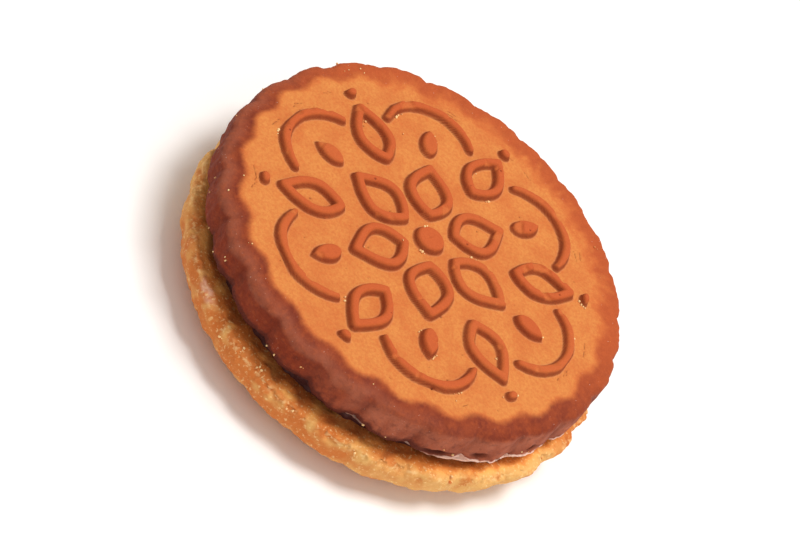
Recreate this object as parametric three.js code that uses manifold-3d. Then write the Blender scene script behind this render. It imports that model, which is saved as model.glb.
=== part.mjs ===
// A round chocolate sandwich cookie, in millimetres, +Z up, lying on its golden biscuit.
// A chocolate biscuit and a golden one, both with a fluted edge and a relief on the outer face,
// are held together by a thin layer of cocoa cream. The biscuits sit a little off centre
// from each other. The origin is the middle of the golden biscuit's lower, resting face.
import * as THREE from 'three';
import { mergeVertices } from 'three/addons/utils/BufferGeometryUtils.js';
import Module from 'manifold-3d';

// Driving dimensions
const BISCUIT_RADIUS = 30; // out to the crest of a flute, where the biscuit is widest
const RIDGE_RADIUS = 29.7; // where the sloping shoulder turns into the wall
const FACE_SCALLOP = 1; // how far the edge of the outer face is pressed in at a groove
const WAIST_HEIGHT = 1.3; // above the baked side, where the biscuit is widest
const BAKED_ROUNDING = 0.9; // how far the edge of the baked side is rounded in from the waist
// The flat outer face ends at faceRadius, and the ridge is ridgeDrop below it.
const CHOCOLATE = { thickness: 6.4, faceRadius: 27.5, ridgeDrop: 1 };
const GOLDEN = { thickness: 6.2, faceRadius: 26.2, ridgeDrop: 2.7 };
const CREAM_THICKNESS = 1.3;
const CREAM_RADIUS = 28.4;
const CREAM_BULGE = 0.3; // how far the cream's edge bulges between the biscuits
const FLUTES = 24;
const FLUTE_DEPTH = 0.6;
const GROOVE_SHARPNESS = 0.6; // below 1 the lobes are broad and the grooves between them narrow
const CHOCOLATE_RELIEF = 1; // how far the pressed lines stand above the chocolate face
const GOLDEN_RELIEF = 0.5;
const RELIEF_ROOT = 0.4; // how far a raised line reaches into the biscuit below it
const LINE_WIDTH = 1.7; // width of a raised line
const LINE_BEVEL = 0.3; // rounding along the top edge of a raised line
const LINE_TIP = 2.8; // length of the solid tip where the two sides of a leaf meet
const LEAF_FULLNESS = 0.85; // below 1 a leaf is broadest nearer its inner end
const DROP_FULLNESS = 0.75;
const CHOCOLATE_SHIFT = new THREE.Vector2(-0.4, 2.2); // from the golden biscuit's axis
const CREAM_SHIFT = new THREE.Vector2(-0.3, 1.7);
const GOLDEN_TURN = Math.PI / 40; // the two rims are not pressed in step

// Rosette on the chocolate face: petals round a button, leaves between the petals, an arched
// swag over each bud and a berry past each leaf
const ROSETTE_FOLD = 6;
const BUTTON_RADIUS = 2.2;
const PETAL = { inner: 3.6, outer: 13.4, halfWidth: 3.7 };
const LEAF = { inner: 12.4, outer: 22.4, halfWidth: 3.2 };
const BUD = { inner: 15.2, outer: 19.8, halfWidth: 1.4 };
const SWAG = { distance: 16.8, radius: 6.9, spread: (7 * Math.PI) / 18 };
const BERRY = { radius: 1, distance: 24.4 };

// Wreath on the golden face: slanted pairs of grains round a flat boss with small petals
const BOSS_RADIUS = 2.6;
const SMALL_PETALS = 8;
const SMALL_PETAL = { inner: 4, outer: 9.4, halfWidth: 1.45 };
const GRAINS = 16;
const GRAIN = { length: 5.4, halfWidth: 1.2, slant: Math.PI / 5 };
const GRAIN_RINGS = [14.4, 20];

// Smoothness
const STEPS_PER_FLUTE = 6;
const AROUND = FLUTES * STEPS_PER_FLUTE;
const CREAM_AROUND = 72;
const BAKED_STEPS = 2; // up the rounded edge of the baked side
const OUTLINE_POINTS = 7; // along one side of a leaf or petal
const ARC_POINTS = 8; // round a button, boss or berry
const MERGE_DISTANCE = 1e-4; // corners closer than this are one corner
const FLATNESS = 0.01; // a flat face is left with as few triangles as this allows

const wasm = await Module();
wasm.setup();

// How deep the wall is pressed in at an angle: 0 on a lobe, 1 in the narrow groove beside it.
function grooveAt(angle) {
  return 1 - Math.pow(Math.abs(Math.sin((angle * FLUTES) / 2)), GROOVE_SHARPNESS);
}

// How far the edge of the face is pressed in at an angle, in soft waves in step with the grooves.
function scallopAt(angle) {
  return (1 + Math.cos(angle * FLUTES)) / 2;
}

// A closed geometry as a solid that can be joined to others.
function solidOf(geometry) {
  const bare = geometry.index ? geometry.toNonIndexed() : geometry.clone();
  bare.deleteAttribute('normal');
  bare.deleteAttribute('uv');
  const merged = mergeVertices(bare, MERGE_DISTANCE);
  const corners = merged.index.array;
  const triVerts = [];
  for (let i = 0; i < corners.length; i += 3) {
    const [a, b, c] = corners.slice(i, i + 3);
    if (a !== b && b !== c && c !== a) triVerts.push(a, b, c);
  }
  return new wasm.Manifold(
    new wasm.Mesh({
      numProp: 3,
      vertProperties: merged.attributes.position.array,
      triVerts: new Uint32Array(triVerts),
    }),
  );
}

function geometryOf(solid) {
  const mesh = solid.asOriginal().simplify(FLATNESS).getMesh();
  const geometry = new THREE.BufferGeometry();
  geometry.setAttribute('position', new THREE.BufferAttribute(mesh.vertProperties, 3));
  geometry.setIndex(new THREE.BufferAttribute(mesh.triVerts, 1));
  geometry.computeVertexNormals();
  return geometry;
}

// Turns a half section about Z and presses the grooves into it. Each row is [radius, height,
// share of the groove, share of the scallop] and the rows run from the axis back to it.
function flutedDisc(rows, around) {
  const section = rows.map(([radius, height]) => new THREE.Vector2(radius, height));
  const geometry = new THREE.LatheGeometry(section, around);
  geometry.rotateX(Math.PI / 2);
  const place = geometry.attributes.position;
  for (let i = 0; i < place.count; i += 1) {
    const [radius, height, groove, scallop] = rows[i % rows.length];
    const angle = (2 * Math.PI * Math.floor(i / rows.length)) / around;
    const pressed = groove * FLUTE_DEPTH * grooveAt(angle) + scallop * FACE_SCALLOP * scallopAt(angle);
    const reach = radius - pressed;
    place.setXYZ(i, reach * Math.cos(angle), reach * Math.sin(angle), height);
  }
  return geometry;
}

// Half section of a biscuit: a flat baked side at height 0 with a rounded edge, the waist, the
// wall up to the ridge, and a sloping shoulder up to the flat outer face.
function biscuitRows({ thickness, faceRadius, ridgeDrop }) {
  const rows = [[0, 0, 0, 0]];
  for (let i = 0; i <= BAKED_STEPS; i += 1) {
    const turn = (Math.PI / 2) * (i / BAKED_STEPS);
    const radius = BISCUIT_RADIUS - BAKED_ROUNDING * (1 - Math.sin(turn));
    rows.push([radius, WAIST_HEIGHT * (1 - Math.cos(turn)), 1, 0]);
  }
  rows.push([RIDGE_RADIUS, thickness - ridgeDrop, 1, 0]);
  rows.push([faceRadius, thickness, 0, 1]);
  rows.push([0, thickness, 0, 0]);
  return rows;
}

// Points along both sides of a leaf that runs out from the centre, pointed at both ends,
// counter-clockwise, as an outline with a hole in it needs.
function leafOutline(inner, outer, halfWidth, fullness) {
  const outline = [];
  for (let i = 0; i < OUTLINE_POINTS; i += 1) {
    const along = i / (OUTLINE_POINTS - 1);
    const wide = halfWidth * Math.sin(Math.PI * Math.pow(along, fullness));
    outline.push(new THREE.Vector2(inner + (outer - inner) * along, -wide));
  }
  const back = outline.slice(1, -1).reverse();
  return outline.concat(back.map((point) => new THREE.Vector2(point.x, -point.y)));
}

// A raised piece of relief: its outline extruded, its top edges rounded, its root in the biscuit.
function raised(shape, height, bevel) {
  const geometry = new THREE.ExtrudeGeometry(shape, {
    depth: height + RELIEF_ROOT - 2 * bevel,
    bevelEnabled: bevel > 0,
    bevelThickness: bevel,
    bevelSize: bevel,
    bevelOffset: -bevel,
    bevelSegments: 1,
    steps: 1,
    curveSegments: ARC_POINTS / 2,
  });
  geometry.translate(0, 0, bevel - RELIEF_ROOT);
  return geometry;
}

// A hollow leaf or petal drawn by one raised line.
function outlinedLeaf({ inner, outer, halfWidth }, height) {
  const shape = new THREE.Shape(leafOutline(inner, outer, halfWidth, LEAF_FULLNESS));
  const hollow = halfWidth - LINE_WIDTH;
  const hole = leafOutline(inner + LINE_TIP, outer - LINE_TIP, hollow, LEAF_FULLNESS);
  shape.holes.push(new THREE.Path(hole));
  return raised(shape, height, LINE_BEVEL);
}

// A solid raised drop, broad towards its inner end.
function drop({ inner, outer, halfWidth }, height, bevel) {
  const outline = leafOutline(inner, outer, halfWidth, DROP_FULLNESS);
  return raised(new THREE.Shape(outline), height, bevel);
}

// An arched line over a bud, round a centre at the swag's distance.
function arch({ distance, radius, spread }, height) {
  const half = LINE_WIDTH / 2;
  const shape = new THREE.Shape();
  shape.absarc(distance, 0, radius + half, -spread, spread, false);
  shape.absarc(distance, 0, radius - half, spread, -spread, true);
  return raised(shape, height, LINE_BEVEL);
}

function button(radius, height, distance) {
  const geometry = new THREE.CylinderGeometry(
    radius - LINE_BEVEL,
    radius,
    height + RELIEF_ROOT,
    ARC_POINTS,
  );
  geometry.rotateX(Math.PI / 2);
  geometry.translate(distance, 0, (height - RELIEF_ROOT) / 2);
  return geometry;
}

// Relief pieces of the chocolate face, on a face at height 0 that looks up.
function rosette() {
  const pieces = [button(BUTTON_RADIUS, CHOCOLATE_RELIEF, 0)];
  for (let i = 0; i < ROSETTE_FOLD; i += 1) {
    const petalAngle = (2 * Math.PI * i) / ROSETTE_FOLD;
    const leafAngle = petalAngle + Math.PI / ROSETTE_FOLD;
    pieces.push(outlinedLeaf(PETAL, CHOCOLATE_RELIEF).rotateZ(petalAngle));
    pieces.push(outlinedLeaf(LEAF, CHOCOLATE_RELIEF).rotateZ(leafAngle));
    pieces.push(drop(BUD, CHOCOLATE_RELIEF, LINE_BEVEL).rotateZ(petalAngle));
    pieces.push(arch(SWAG, CHOCOLATE_RELIEF).rotateZ(petalAngle));
    pieces.push(button(BERRY.radius, CHOCOLATE_RELIEF, BERRY.distance).rotateZ(leafAngle));
  }
  return pieces;
}

// Relief pieces of the golden face, on a face at height 0 that looks up.
function wreath() {
  const pieces = [button(BOSS_RADIUS, GOLDEN_RELIEF, 0)];
  for (let i = 0; i < SMALL_PETALS; i += 1) {
    pieces.push(drop(SMALL_PETAL, GOLDEN_RELIEF, 0).rotateZ((2 * Math.PI * i) / SMALL_PETALS));
  }
  GRAIN_RINGS.forEach((distance, ring) => {
    for (let i = 0; i < GRAINS; i += 1) {
      const half = GRAIN.length / 2;
      const grain = drop({ inner: -half, outer: half, halfWidth: GRAIN.halfWidth }, GOLDEN_RELIEF, 0);
      const lean = ring === 0 ? GRAIN.slant : -GRAIN.slant;
      grain.rotateZ(Math.PI / 2 + lean);
      grain.translate(distance, 0, 0);
      pieces.push(grain.rotateZ((2 * Math.PI * (i + ring / 2)) / GRAINS));
    }
  });
  return pieces;
}

// A biscuit with its baked side at height 0 and its relief on the face above it.
function biscuitSolid(biscuit, reliefPieces) {
  const body = solidOf(flutedDisc(biscuitRows(biscuit), AROUND));
  return reliefPieces.reduce(
    (joined, piece) => joined.add(solidOf(piece.translate(0, 0, biscuit.thickness))),
    body,
  );
}

function creamRows() {
  const middle = CREAM_THICKNESS / 2;
  return [
    [0, 0, 0, 0],
    [CREAM_RADIUS - CREAM_BULGE, 0, 0, 0],
    [CREAM_RADIUS, middle, 0, 0],
    [CREAM_RADIUS - CREAM_BULGE, CREAM_THICKNESS, 0, 0],
    [0, CREAM_THICKNESS, 0, 0],
  ];
}

function named(name, geometry, colour, roughness) {
  const material = new THREE.MeshStandardMaterial({ color: colour, roughness, metalness: 0 });
  const mesh = new THREE.Mesh(geometry, material);
  mesh.name = name;
  return mesh;
}

// The golden biscuit lies relief down, so its baked side is at the top of it.
const goldenTop = GOLDEN_RELIEF + GOLDEN.thickness;
const goldenShape = geometryOf(biscuitSolid(GOLDEN, wreath()));
goldenShape.rotateX(Math.PI);
goldenShape.rotateZ(GOLDEN_TURN);
const golden = named('golden_biscuit', goldenShape, 0xe8a862, 0.85);
golden.position.set(0, 0, goldenTop);

const creamShape = geometryOf(solidOf(flutedDisc(creamRows(), CREAM_AROUND)));
const cream = named('cocoa_cream', creamShape, 0xd4a084, 0.6);
cream.position.set(CREAM_SHIFT.x, CREAM_SHIFT.y, goldenTop);

const chocolateShape = geometryOf(biscuitSolid(CHOCOLATE, rosette()));
const chocolate = named('chocolate_biscuit', chocolateShape, 0xc87844, 0.85);
chocolate.position.set(CHOCOLATE_SHIFT.x, CHOCOLATE_SHIFT.y, goldenTop + CREAM_THICKNESS);

const cookie = new THREE.Group();
cookie.add(golden, cream, chocolate);

export default cookie;
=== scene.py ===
"""A round chocolate sandwich cookie, lying on its golden biscuit.

Each operator builds one piece: the chocolate biscuit with its rosette, the golden biscuit with
its wreath, the cocoa cream between them and the loose crumbs. One more sets the stage.
Lengths are in metres, and MM turns millimetres into them.
"""

import math
import random
from collections import namedtuple
from types import SimpleNamespace

import bmesh
import bpy
import numpy as np
from bpy.props import FloatProperty, FloatVectorProperty, IntProperty, PointerProperty
from mathutils import Matrix, Vector, noise


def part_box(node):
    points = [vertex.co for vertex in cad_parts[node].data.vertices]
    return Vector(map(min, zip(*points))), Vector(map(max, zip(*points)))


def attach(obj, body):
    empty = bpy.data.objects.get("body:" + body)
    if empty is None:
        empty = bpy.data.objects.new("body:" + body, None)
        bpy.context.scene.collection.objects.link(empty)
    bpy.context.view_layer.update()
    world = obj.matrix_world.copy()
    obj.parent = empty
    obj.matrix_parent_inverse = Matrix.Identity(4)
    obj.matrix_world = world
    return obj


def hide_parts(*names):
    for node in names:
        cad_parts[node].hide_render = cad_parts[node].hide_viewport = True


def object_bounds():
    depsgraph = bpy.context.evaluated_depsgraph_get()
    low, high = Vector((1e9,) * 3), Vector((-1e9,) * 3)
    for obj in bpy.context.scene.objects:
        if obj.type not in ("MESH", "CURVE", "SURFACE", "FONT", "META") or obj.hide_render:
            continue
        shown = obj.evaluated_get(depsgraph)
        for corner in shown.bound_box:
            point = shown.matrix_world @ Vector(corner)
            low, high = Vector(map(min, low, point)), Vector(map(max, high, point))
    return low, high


bl_info = {
    "name": "Chocolate Sandwich Cookie",
    "version": (1, 0, 0),
    "blender": (4, 5, 0),
    "location": "3D View > Sidebar > Cookie",
    "description": "Builds a fluted sandwich cookie with a relief on both faces",
    "category": "Add Mesh",
}

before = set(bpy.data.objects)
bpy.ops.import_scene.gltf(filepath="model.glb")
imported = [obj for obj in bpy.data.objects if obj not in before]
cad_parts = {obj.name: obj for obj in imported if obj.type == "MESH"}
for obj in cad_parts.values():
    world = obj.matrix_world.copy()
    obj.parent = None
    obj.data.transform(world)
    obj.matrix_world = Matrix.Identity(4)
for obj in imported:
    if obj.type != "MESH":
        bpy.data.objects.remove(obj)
CAD_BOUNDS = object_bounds()

MM = 0.001
BODY = "root"
CHOCOLATE_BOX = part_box("chocolate_biscuit")
CREAM_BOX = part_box("cocoa_cream")
GOLDEN_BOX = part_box("golden_biscuit")
GOLDEN_TURN = math.pi / 40  # the two rims aren't pressed in step

# Rosette on the chocolate face: petals round a button, leaves between the petals, an arched
# swag over each bud and a berry past each leaf
Leaf = namedtuple("Leaf", "inner outer half_width")
ROSETTE_FOLD = 6
BUTTON_RADIUS = 2.2 * MM
PETAL = Leaf(3.6 * MM, 13.4 * MM, 3.7 * MM)
LEAF = Leaf(12.4 * MM, 22.4 * MM, 3.2 * MM)
BUD = Leaf(15.2 * MM, 19.8 * MM, 1.4 * MM)
SWAG_DISTANCE = 16.8 * MM
SWAG_RADIUS = 6.9 * MM
SWAG_SPREAD = math.radians(70)
BERRY_RADIUS = 1.0 * MM
BERRY_DISTANCE = 24.4 * MM
LEAF_FULLNESS = 0.85
DROP_FULLNESS = 0.75

# Wreath on the golden face: slanted grains round a flat boss with small petals
BOSS_RADIUS = 2.6 * MM
SMALL_PETALS = 8
SMALL_PETAL = Leaf(4.0 * MM, 9.4 * MM, 1.45 * MM)
GRAINS = 16
GRAIN = Leaf(-2.7 * MM, 2.7 * MM, 1.2 * MM)
GRAIN_SLANT = math.pi / 5
GRAIN_RINGS = (14.4 * MM, 20.0 * MM)


def srgb(red, green, blue):
    """A colour given as 0 to 255 on a screen, as the linear colour that a shader takes."""
    shares = [channel / 255 for channel in (red, green, blue)]
    return tuple(s / 12.92 if s <= 0.04045 else ((s + 0.055) / 1.055) ** 2.4 for s in shares)


def colour(name, description, value):
    return FloatVectorProperty(
        name=name, description=description, subtype="COLOR", size=3, min=0, max=1, default=value
    )


def number(name, description, value, **kind):
    return FloatProperty(name=name, description=description, default=value, **kind)


def length(name, description, value):
    return number(name, description, value, subtype="DISTANCE", unit="LENGTH")


def angle(name, description, degrees):
    return number(name, description, math.radians(degrees), subtype="ANGLE")


class BiscuitSizes(bpy.types.PropertyGroup):
    """Sizes that both biscuits share."""

    radius: length("Radius", "Out to the crest of a flute", 30.0 * MM)
    ridge_radius: length("Ridge radius", "Where the shoulder turns into the wall", 29.7 * MM)
    face_scallop: length("Face scallop", "How far the face's edge is pressed in at a groove", MM)
    waist: length("Waist", "Height above the baked side where a biscuit is widest", 1.3 * MM)
    rounding: length("Rounding", "How far the edge of the baked side is rounded in", 0.9 * MM)
    flutes: IntProperty(name="Flutes", description="Grooves round the rim", default=24, min=3)
    flute_depth: length("Flute depth", "How deep a groove is pressed in", 0.6 * MM)
    line_width: length("Line width", "Width of a raised line", 1.7 * MM)


COLOURS = {  # what each colour is for, and its value on a screen
    "chocolate": ("Flat face of the chocolate biscuit", (216, 138, 70)),
    # the line colour also paints light on the far shoulder
    "chocolate_relief": ("Its raised lines", (193, 91, 43)),
    # a painted highlight along the foot of its lines
    "chocolate_foot": ("Dust along the foot of its lines", (232, 170, 130)),
    "chocolate_halo": ("Vivid line round its face", (212, 104, 48)),
    # the shoulder colour is also laid on the sides of the lines as painted shade
    "chocolate_rim": ("Its browned shoulder", (122, 47, 26)),
    "chocolate_wall": ("Its side", (145, 62, 30)),
    # a greyish painted sheen on the shoulder
    "chocolate_haze": ("Greyish bloom on the shoulder", (156, 86, 62)),
    # painted shade on the near-left wall, below the painted sheen
    "chocolate_dusk": ("Darker wall under the bloom", (132, 47, 17)),
    # painted light on the near-right lower wall
    "chocolate_blush": ("Pale lower wall", (182, 104, 76)),
    # dark patches on its wall, and painted shade in cracks, grooves, chips and along its lower
    # corner
    "chocolate_deep": ("Cracks and broken edges", (84, 30, 18)),
    "golden": ("Flat face of the golden biscuit", (255, 212, 134)),
    "golden_relief": ("Its raised grains", (250, 176, 88)),
    "golden_wall": ("Its pale side", (233, 181, 108)),
    "golden_ledge": ("Its baked side, where it shows", (255, 190, 104)),
    "golden_rim": ("Its browned shoulder", (232, 156, 84)),
    # browned corner and wall, and also painted shade on the near-left wall
    "golden_brown": ("Its browned corner and wall", (208, 116, 50)),
    # browner baked side, and painted shade on it under the chocolate biscuit
    "golden_toast": ("Its browner baked side", (216, 120, 48)),
    # painted shade in cracks, breaks and on the baked side under the chocolate biscuit
    "golden_deep": ("Cracks and the darkest crust", (120, 52, 20)),
    "cream": ("Cocoa cream", (252, 218, 200)),
    # dried edge of the cream, darkened as painted shade where it lies back
    "cream_dark": ("Dried edge of the cream", (84, 44, 42)),
    "crumb": ("Loose golden crumbs", (255, 222, 160)),
}


class CookieColours(bpy.types.PropertyGroup):
    """Colours of the biscuits, the cream and the crumbs."""

    __annotations__ = {
        name: colour(name.replace("_", " ").capitalize(), description, srgb(*screen))
        for name, (description, screen) in COLOURS.items()
    }


class StageSettings(bpy.types.PropertyGroup):
    """Camera, lights and floor."""

    elevation: angle("Elevation", "Camera above the floor", 41.4)
    roll: angle("Roll", "Turn of the camera about its line of sight", 41.5)
    distance: length("Distance", "From the camera to the cookie", 0.34)
    lens: number("Lens", "Focal length in millimetres", 116)
    key: number("Key light", "Power", 3.9, unit="POWER")
    fill: number("Fill light", "Power", 1.1, unit="POWER")
    sky: number("Sky", "Strength of the pale surround", 0.5)
    surround: colour("Surround", "Warm tint of the surround", (1.0, 0.92, 0.86))
    floor: colour("Floor", "Pale floor", (0.93, 0.93, 0.93))


# ---------------------------------------------------------------- raised lines

Stroke = namedtuple("Stroke", "points widths")  # a centre line and half its width at each point


def outlined(leaf, line_width, steps=22):
    """A hollow leaf that runs out along X, drawn by one raised line."""
    inset = line_width / 2
    along = np.linspace(0, 1, steps)
    reach = leaf.inner + inset + (leaf.outer - leaf.inner - 2 * inset) * along
    wide = (leaf.half_width - inset) * np.sin(np.pi * along**LEAF_FULLNESS)
    side = np.column_stack([reach, -wide])
    points = np.vstack([side, side[-2::-1] * (1, -1)])
    return Stroke(points, np.full(len(points), inset))


def drop(leaf, steps=12):
    """A solid raised drop, broad towards its inner end."""
    along = np.linspace(0.04, 0.96, steps)
    points = np.column_stack([leaf.inner + (leaf.outer - leaf.inner) * along, np.zeros(steps)])
    return Stroke(points, leaf.half_width * np.sin(np.pi * along**DROP_FULLNESS))


def swag(line_width, steps=14):
    """An arched line over a bud, a little thinner at its ends."""
    turn = np.linspace(-SWAG_SPREAD, SWAG_SPREAD, steps)
    points = SWAG_RADIUS * np.column_stack([np.cos(turn), np.sin(turn)]) + (SWAG_DISTANCE, 0)
    return Stroke(points, line_width / 2 * (1 - 0.25 * (turn / SWAG_SPREAD) ** 4))


def dot(distance, radius):
    """A round raised dot."""
    return Stroke(np.array([[distance, 0], [distance + 0.01 * MM, 0]]), np.full(2, radius))


def turned(stroke, angle):
    """The stroke turned about the biscuit's middle."""
    cosine, sine = math.cos(angle), math.sin(angle)
    return Stroke(stroke.points @ np.array([[cosine, sine], [-sine, cosine]]), stroke.widths)


def rosette(line_width):
    """Raised strokes of the chocolate face."""
    strokes = [dot(0, BUTTON_RADIUS)]
    for i in range(ROSETTE_FOLD):
        petal_turn = 2 * math.pi * i / ROSETTE_FOLD
        leaf_turn = petal_turn + math.pi / ROSETTE_FOLD
        strokes.append(turned(outlined(PETAL, line_width), petal_turn))
        strokes.append(turned(outlined(LEAF, line_width), leaf_turn))
        strokes.append(turned(drop(BUD), petal_turn))
        strokes.append(turned(swag(line_width), petal_turn))
        strokes.append(turned(dot(BERRY_DISTANCE, BERRY_RADIUS), leaf_turn))
    return strokes


def wreath():
    """Raised strokes of the golden face."""
    strokes = [dot(0, BOSS_RADIUS)]
    for i in range(SMALL_PETALS):
        strokes.append(turned(drop(SMALL_PETAL), 2 * math.pi * i / SMALL_PETALS))
    for ring, distance in enumerate(GRAIN_RINGS):
        lean = GRAIN_SLANT if ring == 0 else -GRAIN_SLANT
        leaning = turned(drop(GRAIN), math.pi / 2 + lean)
        grain = Stroke(leaning.points + (distance, 0), leaning.widths)
        for i in range(GRAINS):
            strokes.append(turned(grain, 2 * math.pi * (i + ring / 2) / GRAINS))
    return strokes


def gap_to(stroke, places):
    """How far each place lies outside a stroke's edge. It is below zero inside the stroke."""
    best = np.full(len(places), np.inf)
    ends = zip(stroke.points[:-1], stroke.points[1:], stroke.widths[:-1], stroke.widths[1:])
    for start, end, first, last in ends:
        span = end - start
        share = np.clip((places - start) @ span / (span @ span), 0, 1)
        away = places - start - share[:, None] * span
        best = np.minimum(best, np.hypot(away[:, 0], away[:, 1]) - first - (last - first) * share)
    return best


def gap_to_all(strokes, places, reach):
    """The gap to the nearest stroke, and which stroke that is, for places within reach of one."""
    gaps = np.full(len(places), reach)
    nearest = np.zeros(len(places), int)
    for number, stroke in enumerate(strokes):
        middle = stroke.points.mean(axis=0)
        extent = np.hypot(*(stroke.points - middle).T).max() + stroke.widths.max() + reach
        near = np.flatnonzero(np.hypot(*(places - middle).T) < extent)
        found = gap_to(stroke, places[near])
        closer = found < gaps[near]
        gaps[near[closer]] = found[closer]
        nearest[near[closer]] = number
    return gaps, nearest


# ---------------------------------------------------------------- shaping by numbers


def clouds(places, size, octaves=3, seed=0):
    """Soft noise of about -1 to 1 at each place, in lumps of a size in millimetres."""
    moved_places = places / (size * MM) + np.array([17.3, 5.1, 9.7]) * (seed + 1)
    return np.array([noise.fractal(p, 1.0, 2.0, octaves) for p in moved_places.tolist()])


def smooth(values, low, high):
    """0 below low, 1 above high and a smooth slope between them."""
    share = np.clip((values - low) / (high - low), 0, 1)
    return share * share * (3 - 2 * share)


def hump(values, middle, width):
    """1 at the middle, falling smoothly to nothing a few widths away."""
    return np.exp(-(((values - middle) / width) ** 2))


def apart(angles, middle):
    """Angles from a middle angle, between -pi and pi."""
    return (angles - middle + math.pi) % (2 * math.pi) - math.pi


Side = namedtuple("Side", "azimuth half fade")  # part of the rim: middle, half width and fade


def within(angles, side):
    """1 on a side of the cookie, fading to 0 beyond it."""
    low, high = side.half - side.fade / 2, side.half + side.fade / 2
    return 1 - smooth(np.abs(apart(angles, side.azimuth)), low, high)


def unit(vector):
    return vector / np.hypot(*vector)


def arc(before, corner, after, cut, steps=9):
    """Points of the curve that rounds a corner off, a cut away from it on both sides."""
    start, end = corner + cut * unit(before - corner), corner + cut * unit(after - corner)
    share = np.linspace(0, 1, steps)[:, None]
    return (1 - share) ** 2 * start + 2 * share * (1 - share) * corner + share**2 * end


class Section:
    """Half section of a biscuit, followed along its skin from the middle of the outer face."""

    CUTS = (0.5 * MM, 0.8 * MM, 0.8 * MM, 0.4 * MM)  # rounding of each corner, from the face on
    STEP = 0.1 * MM

    def __init__(self, sizes, bake):
        corners = np.array([
            (0, bake.thickness),
            (bake.face_radius, bake.thickness),
            (sizes.ridge_radius, bake.thickness - bake.ridge_drop),
            (sizes.radius, sizes.waist),
            (sizes.radius - sizes.rounding, 0),
            (0, 0),
        ])
        arcs = [arc(*corners[i : i + 3], cut) for i, cut in enumerate(self.CUTS)]
        points = np.vstack([corners[:1], *arcs, corners[-1:]])
        self.radius, self.height = points.T
        steps = np.hypot(np.diff(self.radius), np.diff(self.height))
        self.way = np.concatenate([[0], np.cumsum(steps)])
        middles = [1 + len(arcs[0]) * i + len(arcs[0]) // 2 for i in range(len(arcs))]
        self.face_end, self.ridge, self.waist, self.corner = self.way[middles]
        self.end = self.way[-1]

    def at(self, way):
        """Radius and height at a way along the skin, and the outward direction there."""

        def point(way):
            return np.array([np.interp(way, self.way, part) for part in (self.radius, self.height)])

        run, rise = point(way + self.STEP) - point(way - self.STEP)
        size = np.maximum(np.hypot(run, rise), 1e-9)
        radius, height = point(way)
        return radius, height, -rise / size, run / size


POLE = -1.0  # height that marks the point where the flat sheet is drawn together


def flat_sheet(face_radius, cells, ring_ways):
    """A flat round sheet: a square grid pressed round, rings added outside it, and the last
    ring drawn together. How far a point is from the middle is its way along the skin."""
    bm = bmesh.new()
    bmesh.ops.create_grid(bm, x_segments=cells, y_segments=cells, size=1.0)
    for vert in bm.verts:
        x, y, _ = vert.co
        if abs(x) >= abs(y) and x:
            reach, turn = x, math.pi / 4 * y / x
        else:
            reach, turn = y, math.pi / 2 - (math.pi / 4 * x / y if y else 0)
        vert.co = (face_radius * reach * math.cos(turn), face_radius * reach * math.sin(turn), 0)
    edges = [edge for edge in bm.edges if edge.is_boundary]
    for way in ring_ways:
        grown = bmesh.ops.extrude_edge_only(bm, edges=edges)["geom"]
        edges = [item for item in grown if isinstance(item, bmesh.types.BMEdge)]
        for vert in {vert for edge in edges for vert in edge.verts}:
            vert.co *= way / vert.co.length
    grown = bmesh.ops.extrude_edge_only(bm, edges=edges)["geom"]
    last = [item for item in grown if isinstance(item, bmesh.types.BMVert)]
    bmesh.ops.pointmerge(bm, verts=last, merge_co=(0, 0, POLE))
    return bm


def cut_finer(bm, chosen):
    """Halves the edges that have a chosen end. Chosen takes the places of the sheet's points
    and says which of them count. The point that draws the sheet together never does."""
    bm.verts.index_update()
    places = np.array([vert.co for vert in bm.verts])
    near = chosen(places[:, :2]) & (places[:, 2] != POLE)
    edges = [edge for edge in bm.edges if any(near[vert.index] for vert in edge.verts)]
    bmesh.ops.subdivide_edges(bm, edges=edges, cuts=1, use_grid_fill=True)
    crowded = [face for face in bm.faces if len(face.verts) > 4]
    bmesh.ops.triangulate(bm, faces=crowded)


def positions(mesh):
    places = np.empty(len(mesh.vertices) * 3)
    mesh.vertices.foreach_get("co", places)
    return places.reshape(-1, 3)


def give(mesh, numbers):
    """Keeps one number of each name for each vertex, for the materials to read."""
    for name, values in numbers.items():
        attribute = mesh.attributes.new(name, "FLOAT", "POINT")
        attribute.data.foreach_set("value", np.asarray(values, np.float32))


def piece(name, mesh, material):
    """Puts a mesh in the scene as a smooth object at the origin."""
    mesh.name = name
    mesh.shade_smooth()
    mesh.materials.append(material)
    made = bpy.data.objects.new(name, mesh)
    bpy.context.scene.collection.objects.link(made)
    return made


def mesh_of(bm):
    mesh = bpy.data.meshes.new("shape")
    bm.to_mesh(mesh)
    bm.free()
    return mesh


def reshape(mesh, places):
    """Moves a closed mesh's vertices and turns its faces outwards."""
    mesh.vertices.foreach_set("co", np.asarray(places, np.float32).ravel())
    mesh.update()
    bm = bmesh.new()
    bm.from_mesh(mesh)
    bmesh.ops.recalc_face_normals(bm, faces=bm.faces)
    bm.to_mesh(mesh)
    bm.free()


def settle(made, slot, *nodes):
    """Puts a finished piece on the cookie's body, in place of the plain solids it stands for."""
    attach(made, BODY)
    if nodes:
        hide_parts(*nodes)


# ---------------------------------------------------------------- biscuits

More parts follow.
